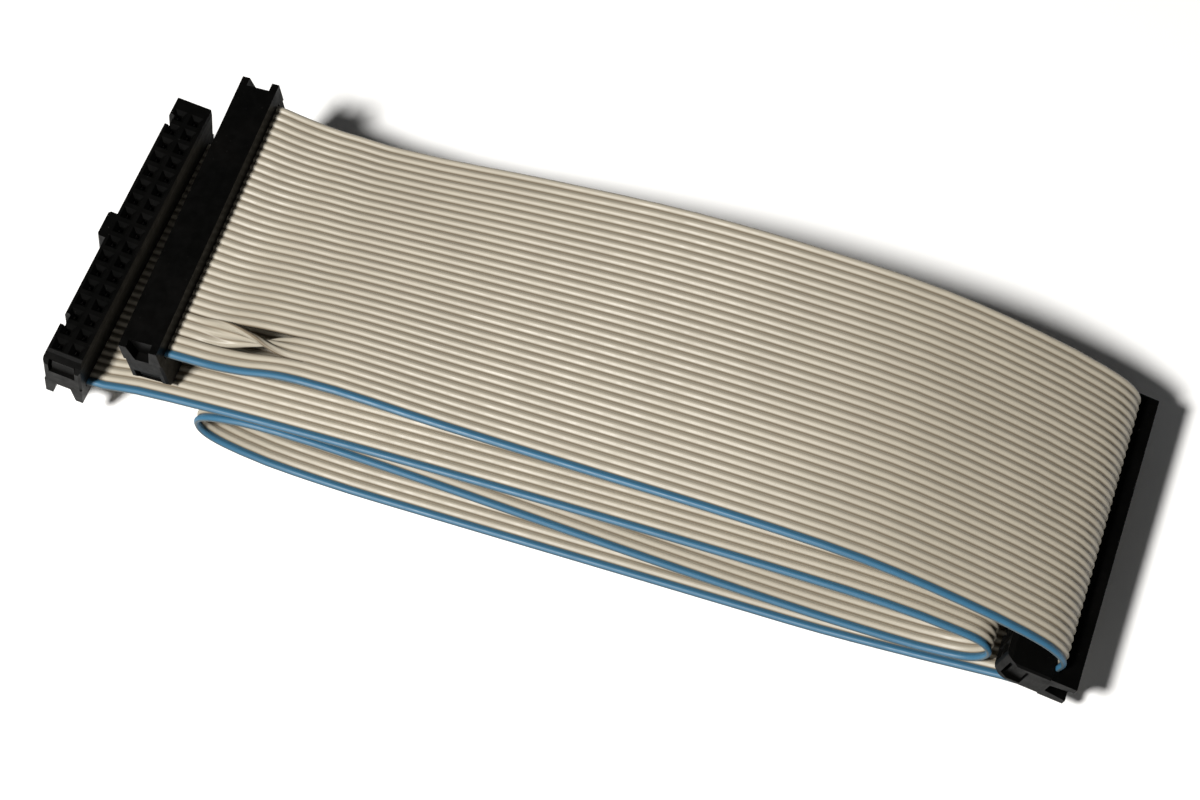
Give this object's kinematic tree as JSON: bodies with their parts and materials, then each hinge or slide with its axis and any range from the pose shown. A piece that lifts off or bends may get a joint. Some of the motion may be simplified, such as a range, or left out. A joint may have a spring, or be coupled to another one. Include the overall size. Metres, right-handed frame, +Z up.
{
  "type": "ribbon cable",
  "caption": "Flat grey ribbon cable with a blue edge conductor and black two-row sockets, one group of conductors twisted, lying as a loose folded stack.",
  "frame": {"origin": "centre of the bounding box in plan, at the bottom of the lowest run of ribbon", "axes": "+X along the folded stack from the socket that faces up to the socket at the far fold, +Y across the ribbon from its blue edge to its plain edge, +Z up"},
  "size_m": [0.1512, 0.05, 0.0281],
  "materials": {
    "ribbon_vinyl": "soft satin vinyl, warm light grey, with one blue edge conductor",
    "socket_black": "fine matt black moulding",
    "cover_black": "fine matt black moulding",
    "contact_tin": "tinned sheet metal"
  },
  "bodies": {
    "root": {"ribbon": "ribbon_vinyl", "socket1_body": "socket_black", "socket1_cover": "cover_black", "socket1_row1": "contact_tin", "socket1_row2": "contact_tin", "socket2_body": "socket_black", "socket2_cover": "cover_black", "socket2_row1": "contact_tin", "socket2_row2": "contact_tin", "socket3_body": "socket_black", "socket3_cover": "cover_black", "socket3_row1": "contact_tin", "socket3_row2": "contact_tin"}
  },
  "joints": []
}
